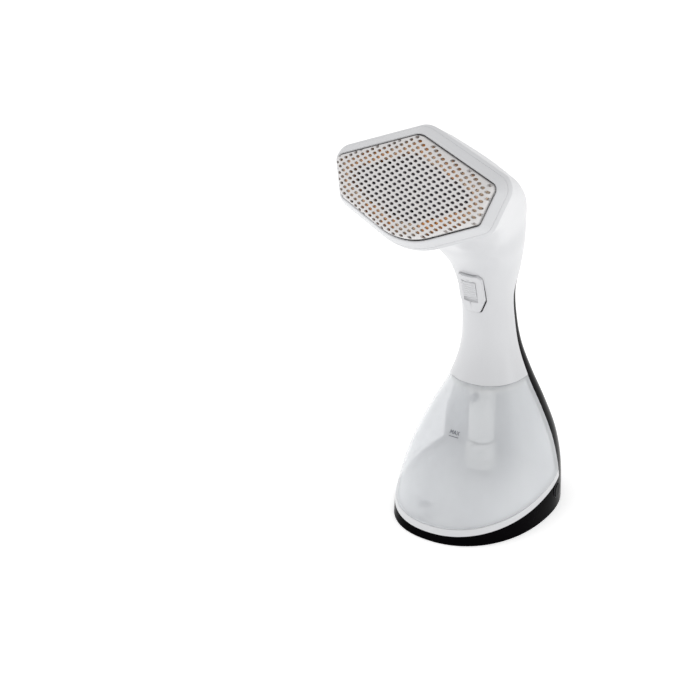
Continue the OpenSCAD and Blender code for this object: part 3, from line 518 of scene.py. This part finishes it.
def tube_between(name, a, b, r, sides=48):
    """A solid rod of radius r from a to b."""
    a, b = np.array(a, float), np.array(b, float)
    w = unit(b - a)
    u = unit(np.cross(w, [1, 0, 0] if abs(w[0]) < 0.9 else [0, 1, 0]))
    v = np.cross(w, u)
    angles = np.linspace(0, 2 * math.pi, sides, endpoint=False)[:, None]
    circle = r * (np.cos(angles) * u + np.sin(angles) * v)
    return loft(name, [a + circle, b + circle])


def cut(obj, operation, *tools):
    """Applies a boolean with each tool in turn, then deletes the tools."""
    for tool in tools:
        mod = obj.modifiers.new("cut", "BOOLEAN")
        mod.operation = operation
        mod.solver = "MANIFOLD"
        mod.object = tool
        bpy.context.view_layer.update()
        graph = bpy.context.evaluated_depsgraph_get()
        mesh = bpy.data.meshes.new_from_object(obj.evaluated_get(graph))
        obj.modifiers.clear()
        old = obj.data
        mesh.name = obj.name
        obj.data = mesh
        bpy.data.meshes.remove(old)
    for tool in set(tools):
        bpy.data.objects.remove(tool)
    return obj


def finish_piece(obj, body, slot, nodes=(), angle=32, material=None):
    """Brings a piece from mm to metres, smooths its shading, and hands it to the frame."""
    obj.data.transform(Matrix.Scale(MM, 4))
    obj.data.materials.clear()
    obj.data.materials.append(material or FINISHES[slot])
    obj.data.polygons.foreach_set("material_index", [0] * len(obj.data.polygons))
    obj.data.shade_smooth()
    obj.data.set_sharp_from_angle(angle=math.radians(angle))
    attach(obj, body)
    if nodes:
        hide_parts(*nodes)
    return obj


# ---------------------------------------------------------------- seams, in mm

PARTING = (6.5, 153.0)
PARTING_SLOPE = 0.156
FOOT_FRONT = (-64.5, 5.5)
FOOT_SLOPE = 0.156
TANK_TOP = 92.0
BAND = 4.8
GAP = 0.3
LIP_GAP = 0.03
# The seam's rounded upper end: where it starts, and how far it runs back and up
SEAM_TOP, SEAM_BACK, SEAM_RISE = 148.0, 24, 38
SEAM_STEPS = 25
FAR = 300.0
# How far below the foot the cutting shapes of the seam, the front and the hollows reach
SPINE_LOW, FRONT_LOW, HOLLOW_DROP = -20, -50, 5


def parting_y(z):
    """The straight seam in front of the spine. It lies further back lower down."""
    return PARTING[0] + (PARTING[1] - z) * PARTING_SLOPE


def foot_z(y):
    """The top of the foot, which rises towards the rear."""
    return FOOT_FRONT[1] + (y - FOOT_FRONT[0]) * FOOT_SLOPE


def spine_region(name, shrink):
    """The part of space that the black spine takes, as seen from the side."""
    y = parting_y(SEAM_TOP) + shrink
    curve = [
        (y + SEAM_BACK * (1 - math.cos(a)), SEAM_TOP + (SEAM_RISE - shrink) * math.sin(a))
        for a in np.linspace(0, math.pi / 2, SEAM_STEPS)
    ]
    low = (parting_y(SPINE_LOW) + shrink, SPINE_LOW)
    return prism_x(name, [low, *curve, (FAR, curve[-1][1]), (FAR, SPINE_LOW)])


def below_z(name, z):
    return prism_x(name, [(-FAR, z), (-FAR, -FAR), (FAR, -FAR), (FAR, z)])


def above_z(name, z):
    return prism_x(name, [(-FAR, z), (FAR, z), (FAR, FAR), (-FAR, FAR)])


def above_foot(name, lift):
    ends = [(-FAR, foot_z(-FAR) + lift), (FAR, foot_z(FAR) + lift)]
    return prism_x(name, [*ends, (FAR, 2 * FAR), (-FAR, 2 * FAR)])


def below_foot(name, lift):
    rear, front = (FAR, foot_z(FAR) + lift), (-FAR, foot_z(-FAR) + lift)
    return prism_x(name, [front, (-FAR, -2 * FAR), (FAR, -2 * FAR), rear])


def ahead(name, back_off):
    """Everything in front of the leaning seam, moved forward by back_off."""
    return prism_x(name, [
        (parting_y(FRONT_LOW) - back_off, FRONT_LOW), (parting_y(FAR) - back_off, FAR),
        (-2 * FAR, FAR), (-2 * FAR, FRONT_LOW),
    ])


def lower_body(name, inset, end=TANK_END):
    """The body's lower part up to section end. An inset one runs on below the foot."""
    rings = [ring(t, inset) for t in steps(0, end)]
    if inset:
        rings.insert(0, rings[0] - (0, 0, HOLLOW_DROP))
    return loft(name, rings)


# ---------------------------------------------------------------- trigger frame

TRIGGER_FOOT = np.array([0, -16.7, 140.0])
TRIGGER_LEAN = math.radians(16.9)
T_IN = np.array([0, math.cos(TRIGGER_LEAN), math.sin(TRIGGER_LEAN)])
T_UP = np.array([0, -math.sin(TRIGGER_LEAN), math.cos(TRIGGER_LEAN)])
# The right half of the trigger's front: half width and height above its foot
TRIGGER_SIDE = ((5.2, 1.2), (8.6, 9), (8.6, 25.4), (6.4, 27.9))
TRIGGER_MIDDLE = 20
TRIGGER_ROUND = 1.3
# Where the trigger's front ends and its arms and barrel go on unrounded, in mm behind its foot
TRIGGER_BACK = 4.6
# The window round the trigger: its gap at the sides and top, its gap below, and its rounding
WINDOW_SIDE, WINDOW_DROP, WINDOW_ROUND = 0.16, 1.4, 1.4
WINDOW_REACH = (-8.0, 9.0)


def in_trigger(x, d, z):
    """A point by its place across, behind and up the trigger's own lean."""
    return TRIGGER_FOOT + np.array([x, 0, 0]) + T_IN * d + T_UP * z


# A rounding takes at most this share of an edge
ROUND_SHARE = 0.45


def rounded(points, radius, count=6):
    """Closed 2-D outline with each corner rounded."""
    pts = [np.array(p, float) for p in points]
    out = []
    for i, p in enumerate(pts):
        a, b = pts[i - 1] - p, pts[(i + 1) % len(pts)] - p
        half = math.acos(float(unit(a) @ unit(b))) / 2
        r = min(radius, ROUND_SHARE * min(np.linalg.norm(a), np.linalg.norm(b)) * math.tan(half))
        start, end = p + unit(a) * r / math.tan(half), p + unit(b) * r / math.tan(half)
        for k in np.linspace(0, 1, count):
            out.append((1 - k) ** 2 * start + 2 * k * (1 - k) * p + k**2 * end)
    return np.array(out)


def trigger_outline(side, drop, radius):
    """The trigger's outline, larger by side at the sides and top and by drop below."""
    edge = [(x + side, z + side if z > TRIGGER_MIDDLE else z - drop) for x, z in TRIGGER_SIDE]
    return rounded(edge + [(-x, z) for x, z in reversed(edge)], radius)


def trigger_solid(name, outline, near, far):
    return loft(name, [np.array([in_trigger(x, d, z) for x, z in outline]) for d in (near, far)])


# ---------------------------------------------------------------- shells

# The housing's rounded lip: how far outside the face's outline, and how far in front of its plane
HOUSING_LIP = ((5.9, -7.4), (5.4, -6.4), (4.9, -5.6))
HOLLOW_FORWARD = 5


def make_housing():
    heights = steps(HOUSING_START, LAST)
    outer = loft("housing", [ring(t) for t in heights] + [face_ring(*lip) for lip in HOUSING_LIP])
    hollow_end = face_ring(RIM_GROW - WALL, HOLLOW_FORWARD)
    inner = loft("housing_hollow", [ring(t, WALL) for t in heights] + [hollow_end])
    cut(inner, "INTERSECT", above_z("hollow_floor", TANK_TOP + GAP + WALL))
    outline = trigger_outline(WINDOW_SIDE, WINDOW_DROP, WINDOW_ROUND)
    cut(
        outer, "DIFFERENCE", inner, below_z("neck_end", TANK_TOP + LIP_GAP),
        spine_region("spine_cut", -GAP / 2), trigger_solid("window", outline, *WINDOW_REACH),
    )
    finish_piece(outer, "handle", "white_shell", ["front_housing"])


TRIGGER_AHEAD = -3
TRIGGER_LAP = 0.2
# Space for all of the trigger that lies behind its front
BEHIND_OUTLINE = ((20, -20), (20, 40), (-20, 40), (-20, -20))
BEHIND_DEEP = 40


def make_trigger():
    """The CAD trigger's own shape, with the corners of its front rounded."""
    trigger = bpy.data.objects.new("trigger_front", NODES["trigger"].data.copy())
    bpy.context.scene.collection.objects.link(trigger)
    trigger.data.transform(Matrix.Scale(1 / MM, 4) @ NODES["trigger"].matrix_world)
    tidy(trigger)
    outline = trigger_outline(0, 0, TRIGGER_ROUND)
    keep = trigger_solid("trigger_keep", outline, TRIGGER_AHEAD, TRIGGER_BACK + TRIGGER_LAP)
    behind = trigger_solid("trigger_behind", BEHIND_OUTLINE, TRIGGER_BACK, BEHIND_DEEP)
    cut(keep, "UNION", behind)
    cut(trigger, "INTERSECT", keep)
    finish_piece(trigger, "trigger", "white_shell", ["trigger"], angle=30)


SLIDER_HALF, SLIDER_LOW, SLIDER_HIGH = 4.7, 12.2, 23.8
SLIDER_DEEP = 1.4
SLIDER_RIBS = 7
RIB_TALL = 0.55
RIB_RINGS = 8
# The rounding of a rib's end: how far in from the slider's side, and how far behind the rib's front
RIB_END = ((0, 0.5), (0.12, 0.15), (0.5, 0))
TONGUE_HALF, TONGUE_LOW, TONGUE_HIGH = 1.2, 14, 19
TONGUE_ROUND = 0.4
TONGUE_REACH = (1, 3.6)


def slider_ring(z):
    """The slider's closed outline at one height, further forward on a rib."""
    share = SLIDER_RIBS * (z - SLIDER_LOW) / (SLIDER_HIGH - SLIDER_LOW)
    front = -RIB_TALL * math.sin(math.pi * share) ** 2
    edge = [(-SLIDER_HALF + inwards, front + behind) for inwards, behind in RIB_END]
    edge += [(-x, d) for x, d in reversed(edge)]
    edge += [(SLIDER_HALF, SLIDER_DEEP), (-SLIDER_HALF, SLIDER_DEEP)]
    return np.array([in_trigger(x, d, z) for x, d in edge])


def make_slider():
    """Lock slider with soft level ribs across its front, and the tongue that goes into its slot."""
    heights = np.linspace(SLIDER_LOW, SLIDER_HIGH, RIB_RINGS * SLIDER_RIBS + 1)
    slider = loft("slider_ribs", [slider_ring(z) for z in heights])
    tongue = [
        (-TONGUE_HALF, TONGUE_LOW), (TONGUE_HALF, TONGUE_LOW),
        (TONGUE_HALF, TONGUE_HIGH), (-TONGUE_HALF, TONGUE_HIGH),
    ]
    cut(slider, "UNION", trigger_solid("slider_tongue", rounded(tongue, TONGUE_ROUND), *TONGUE_REACH))
    finish_piece(slider, "lock_slider", "white_shell", ["lock_slider"], angle=50)


SPINE_LEAN = math.atan(PARTING_SLOPE)
# The rear screws: across, up along the seam, and how far behind it the head sits
SPINE_SCREWS = ((0, -12, 9.6), (20.5, -108, 24), (-20.5, -108, 24))
BOSS_R, COUNTERBORE_R, CLEARANCE_R = 4.6, 3.2, 1.7
# How far a boss goes in front of and behind its seat, and how far under the skin it stays
BOSS_FRONT, BOSS_REAR, BOSS_INSET = 1.6, 6, 0.8
# How far the counterbore goes behind the seat, and the clearance hole in front of and behind it
COUNTERBORE_REACH, CLEARANCE_REACH, CLEARANCE_LAP = 40, 8, 4
LAMP_R, LAMP_Z = 2.4, 161
LAMP_REACH = (10, 40)


def spine_point(x, d, h):
    """A point by its place across, behind and up along the leaning seam."""
    return np.array([
        x,
        PARTING[0] + d * math.cos(SPINE_LEAN) - h * math.sin(SPINE_LEAN),
        PARTING[1] + d * math.sin(SPINE_LEAN) + h * math.cos(SPINE_LEAN),
    ])


def add_screw_boss(outer, k, x, h, seat):
    """A round seat inside the spine for one rear screw, with its counterbore and clearance hole."""

    def rod(name, start, end, r):
        return tube_between(f"{name}_{k}", spine_point(x, seat + start, h), spine_point(x, seat + end, h), r)

    boss = rod("boss", -BOSS_FRONT, BOSS_REAR, BOSS_R)
    inside = [ring(t, BOSS_INSET) for t in steps(0, SPINE_END, 4)]
    cut(boss, "INTERSECT", loft(f"boss_limit_{k}", inside))
    cut(outer, "UNION", boss)
    cut(
        outer, "DIFFERENCE",
        rod("counterbore", 0, COUNTERBORE_REACH, COUNTERBORE_R),
        rod("clearance", -CLEARANCE_REACH, CLEARANCE_LAP, CLEARANCE_R),
    )


def make_spine():
    outer = loft("spine", [ring(t) for t in steps(0, SPINE_END)])
    below = ring(0, WALL) - (0, 0, HOLLOW_DROP)
    inner = loft("spine_hollow", [below] + [ring(t, WALL) for t in steps(0, SPINE_END)])
    cut(outer, "DIFFERENCE", inner)
    cut(outer, "INTERSECT", spine_region("spine_keep", GAP / 2))
    cut(outer, "DIFFERENCE", below_foot("foot_cut", GAP / 2))
    for k, (x, h, seat) in enumerate(SPINE_SCREWS):
        add_screw_boss(outer, k, x, h, seat)
    start, end = [(0, y, LAMP_Z) for y in LAMP_REACH]
    cut(outer, "DIFFERENCE", tube_between("lamp_hole", start, end, LAMP_R))
    finish_piece(outer, "handle", "black_shell", ["rear_cover"])


BUTTON_PLACE = np.array([47.17, 20.3, 12.8])
BUTTON_TURN = math.radians(11.7)
BUTTON_R = 5.4
BUTTON_REACH = (-18, 6)
DECK = 1.5
SEAM_CLEAR = 0.6
CORD_R, CORD_Z = 6.6, 12
CORD_REACH = (50, 80)


def in_button(side, out):
    """A point on the axis of one release button. Side is 1 or -1."""
    along = np.array([math.cos(BUTTON_TURN), math.sin(BUTTON_TURN), 0])
    return (BUTTON_PLACE + out * along) * (side, 1, 1)


def make_foot():
    outer = lower_body("foot", 0, FOOT_END)
    cut(outer, "INTERSECT", below_foot("foot_keep", -GAP / 2))
    under_deck = below_foot("under_deck", -GAP / 2 - DECK)
    cut(under_deck, "UNION", spine_region("behind_seam", SEAM_CLEAR))
    hollow = lower_body("foot_hollow", WALL, FOOT_END)
    cut(hollow, "INTERSECT", under_deck)
    start, end = [(0, y, CORD_Z) for y in CORD_REACH]
    buttons = [
        tube_between(f"button_hole_{side}", *[in_button(side, out) for out in BUTTON_REACH], BUTTON_R)
        for side in (1, -1)
    ]
    cut(outer, "DIFFERENCE", hollow, tube_between("cord_hole", start, end, CORD_R), *buttons)
    finish_piece(outer, "handle", "black_shell", ["base_tray"])


SPIGOT_R, SPIGOT_Z = 5.15, 82
SPIGOT_REACH = (5, 40)
FILL_SPOT = (-8.6, -54.5)
FILL_TOP = 17.5
FILL_R, FILL_BORE_R = 4.6, 3.2
# How far the neck starts above the foot's top, the height its bore starts at, and how far it runs out
FILL_LOW, FILL_BORE_LOW, FILL_BORE_LAP = 1.4, -5, 10


def tank_space(name, back_off, drop):
    """All of space in front of the spine and below the neck."""
    space = ahead(name, back_off)
    return cut(space, "INTERSECT", below_z(name + "_top", TANK_TOP - drop))


def make_tank():
    outer = lower_body("tank", 0)
    cut(outer, "INTERSECT", tank_space("tank_keep", GAP, LIP_GAP), above_foot("tank_low", BAND + GAP / 2))
    inner = lower_body("tank_hollow", WALL)
    cut(inner, "INTERSECT", tank_space("tank_inside", GAP + WALL, GAP / 2 + WALL))
    start, end = [(0, y, SPIGOT_Z) for y in SPIGOT_REACH]
    cut(outer, "DIFFERENCE", inner, tube_between("spigot_hole", start, end, SPIGOT_R))
    return finish_piece(outer, "tank", "frosted_tank", ["tank_shell"])


def make_tank_rim():
    """The white band and floor under the tank, with the filling neck that stands on it."""
    band = lower_body("tank_rim", 0, FOOT_END)
    above, below = above_foot("band_low", GAP / 2), below_foot("band_high", BAND - GAP / 2)
    cut(band, "INTERSECT", tank_space("band_keep", GAP, 0), above, below)
    inside = lower_body("band_hollow", WALL, FOOT_END)
    cut(inside, "INTERSECT", tank_space("band_inside", GAP + WALL, 0), above_foot("band_floor", WALL))
    cut(band, "DIFFERENCE", inside)
    x, y = FILL_SPOT
    cut(band, "UNION", tube_between("fill_neck", (x, y, foot_z(y) + FILL_LOW), (x, y, FILL_TOP), FILL_R))
    bore = tube_between("fill_hole", (x, y, FILL_BORE_LOW), (x, y, FILL_TOP + FILL_BORE_LAP), FILL_BORE_R)
    cut(band, "DIFFERENCE", bore)
    finish_piece(band, "tank", "white_shell", ["tank_floor"])


COLLAR_DROP = 4.4
COLLAR_THICK = 1


def make_collar():
    """The inner rib that shows through the tank as a second line under its top seam."""
    collar = lower_body("tank_collar", WALL)
    inner = lower_body("collar_hollow", WALL + COLLAR_THICK)
    space = tank_space("collar_keep", GAP + WALL, GAP + WALL)
    cut(collar, "INTERSECT", space, above_z("collar_low", TANK_TOP - COLLAR_DROP))
    cut(collar, "DIFFERENCE", inner)
    finish_piece(collar, "tank", "ivory_plastic")


MARK_TALL = 2.1
MARK_STEP, MARK_WIDE = 2.35, 1.7
MARK_LEFT, MARK_BOTTOM = -1.8, 62.4
MARK_WIDTH = 0.32
MARK_SPACING = 0.3
MARK_RAISED, MARK_SUNK = 0.08, -0.1
# The letters stand this far above the level, and the line under them this far below it
LETTER_RISE, LINE_DROP = 0.9, 0.4
LINE_LEFT, LINE_RIGHT = 0.3, 0.2
# Well in front of the tank, where the search for its surface starts
MARK_FROM = -200
# Strokes of a level mark: letter corners as shares of the letter's box, one letter a step
MARK_STROKES = (
    (0, ((0, 0), (0, 1), (0.5, 0.35), (1, 1), (1, 0))),
    (1, ((0, 0), (0.5, 1), (1, 0))),
    (1, ((0.2, 0.35), (0.8, 0.35))),
    (2, ((0, 0), (1, 1))),
    (2, ((0, 1), (1, 0))),
)


def stroke_on(tank_piece, name, points):
    """A thin raised line that follows the tank's front between points given as (x, z)."""
    tree = BVHTree.FromObject(tank_piece, bpy.context.evaluated_depsgraph_get())
    pts = [np.array(p, float) for p in points]
    line = [pts[0]]
    for a, b in zip(pts, pts[1:]):
        count = max(2, int(np.linalg.norm(b - a) / MARK_SPACING))
        line += [a + (b - a) * k / count for k in range(1, count + 1)]
    corners = []
    for k, p in enumerate(line):
        along = unit(line[min(k + 1, len(line) - 1)] - line[max(k - 1, 0)])
        across = np.array([-along[1], along[0]]) * MARK_WIDTH / 2
        left, right = p - across, p + across
        for q, lift in ((right, MARK_RAISED), (left, MARK_RAISED), (left, MARK_SUNK), (right, MARK_SUNK)):
            start = Vector((q[0], MARK_FROM, q[1])) * MM
            hit, normal, _, _ = tree.ray_cast(start, Vector((0, 1, 0)))
            corners.append((np.array(hit) + np.array(normal) * lift * MM) / MM)
    rings = [np.array(corners[k:k + 4]) for k in range(0, len(corners), 4)]
    return loft(name, rings)


def make_level_mark(tank_piece):
    base = MARK_BOTTOM + LETTER_RISE
    strokes = [
        [(MARK_LEFT + letter * MARK_STEP + x * MARK_WIDE, base + z * MARK_TALL) for x, z in stroke]
        for letter, stroke in MARK_STROKES
    ]
    under = MARK_BOTTOM - LINE_DROP
    right = MARK_LEFT + 2 * MARK_STEP + MARK_WIDE + LINE_RIGHT
    strokes.append([(MARK_LEFT - LINE_LEFT, under), (right, under)])
    for k, points in enumerate(strokes):
        mark = stroke_on(tank_piece, f"level_mark_{k}", points)
        finish_piece(mark, "tank", "grey_plastic", material=MARK_INK)


# ---------------------------------------------------------------- steam face

# Profiles round the face: how far outside its outline, and how far in front of its plane
COVER_SHOULDER = (
    (-0.4, -4), (-0.4, 0.9), (-0.6, 2.1), (-1.15, 3.1), (-2, 4), (-3.2, 4.75), (-4.6, 5.25), (-6.2, 5.5),
)
COVER_WALL = 1.2
COVER_CROWN = 0.5
CROWN_SHARES = (0.9, 0.75, 0.55, 0.3, 0.1)
HOLLOW_BACK = 2
HOLE_PITCH, HOLE_ROW = 5.6, 1.87
HOLE_HALF = (1.42, 0.86)
HOLE_MARGIN = -0.9
HOLE_SIDES = 16
HOLE_REACH = (0.4, 9.0)
# More rows and columns than the face is large; those outside its outline are left out
HOLE_ROWS, HOLE_COLUMNS = 18, 11


def cover_form(name, inset, back):
    """The cover's domed shape, moved inwards by inset and reaching back to this plane."""
    rings = [face_ring(COVER_SHOULDER[0][0] - inset, back)]
    rings += [face_ring(g - inset, f - inset) for g, f in COVER_SHOULDER[1:]]
    edge = face_outline(COVER_SHOULDER[-1][0] - inset)
    for share in CROWN_SHARES:
        rise = COVER_SHOULDER[-1][1] - inset + COVER_CROWN * (1 - share**2)
        rings.append(place_on_face(edge * share, rise))
    return loft(name, rings)


def hole_spots():
    """Middles of the staggered steam holes that lie inside the outline."""
    outline = face_outline(HOLE_MARGIN)
    after = np.roll(outline, -1, axis=0)
    step = after - outline
    spots = []
    for j in range(-HOLE_ROWS, HOLE_ROWS + 1):
        for i in range(-HOLE_COLUMNS, HOLE_COLUMNS + 1):
            p = np.array([(i + (abs(j) % 2) / 2) * HOLE_PITCH, j * HOLE_ROW])
            to = p - outline
            if (step[:, 0] * to[:, 1] - step[:, 1] * to[:, 0]).min() > 0:
                spots.append(p)
    return spots


def hole_tools():
    """One mesh that holds a prism for every steam hole."""
    angles = np.linspace(0, 2 * math.pi, HOLE_SIDES, endpoint=False)
    oval = np.stack([HOLE_HALF[0] * np.cos(angles), HOLE_HALF[1] * np.sin(angles)], 1)
    points, faces = [], []
    for spot in hole_spots():
        first = len(points)
        for forward in HOLE_REACH:
            points += list(place_on_face(oval + spot, forward))
        n = HOLE_SIDES
        faces.append(tuple(range(first + n - 1, first - 1, -1)))
        faces.append(tuple(range(first + n, first + 2 * n)))
        faces += [(first + k, first + (k + 1) % n, first + n + (k + 1) % n, first + n + k) for k in range(n)]
    holes = new_object("holes", points, faces)
    tidy(holes)
    return holes


# Lies 0.25 mm under the cover's inner face, all round its edge
GASKET_PROFILE = (
    (-2, -4), (-2.05, 0.9), (-2.65, 1.8), (-3.5, 2.5), (-4.6, 3.2),
    (-5.9, 3.7), (-7.4, 3.95), (-9.6, 4), (-9.6, -4),
)


def make_gasket():
    gasket = loft("gasket", [face_ring(g, f) for g, f in GASKET_PROFILE], closed=True)
    finish_piece(gasket, "handle", "amber_silicone", ["face_gasket"], angle=50)


def make_cover():
    cover = cover_form("cover", 0, COVER_SHOULDER[0][1])
    cut(cover, "DIFFERENCE", cover_form("cover_hollow", COVER_WALL, COVER_SHOULDER[0][1] - HOLLOW_BACK))
    cut(cover, "DIFFERENCE", hole_tools())
    finish_piece(cover, "handle", "cover_grey", ["steam_cover"], angle=40)


BEZEL_PROFILE = (
    (0.4, -0.3), (1, 0.1), (1.8, -0.6), (4.7, -4.9), (4.7, -8), (-3.4, -8), (-3.4, -6.8), (0.4, -6.8),
)
BEZEL_ROUND = 1.2
# The screws that hold the heater, as (across, up), and the holes for them
HEATER_SCREWS = ((26.4, 20), (-26.4, 20), (22.7, -20.3), (-22.7, -20.3))
SCREW_HOLE_R = 1.4
SCREW_HOLE_REACH = (-13, -5)
SCREW_HOLE_SIDES = 24


def on_face(u, v, forward):
    return FACE_CENTRE + FORWARD * forward + FACE_UP * v + np.array([u, 0, 0])


def make_bezel():
    profile = rounded(BEZEL_PROFILE, BEZEL_ROUND)
    bezel = loft("bezel_ring", [face_ring(grow, forward) for grow, forward in profile], closed=True)
    for k, (u, v) in enumerate(HEATER_SCREWS):
        start, end = [on_face(u, v, forward) for forward in SCREW_HOLE_REACH]
        hole = tube_between(f"bezel_hole_{k}", start, end, SCREW_HOLE_R, SCREW_HOLE_SIDES)
        cut(bezel, "DIFFERENCE", hole)
    finish_piece(bezel, "handle", "white_shell", ["bezel"], angle=50)


# ---------------------------------------------------------------- all the pieces

make_housing()
make_trigger()
make_slider()
make_spine()
make_foot()
tank = make_tank()
make_tank_rim()
make_collar()
make_level_mark(tank)
make_gasket()
make_cover()
make_bezel()
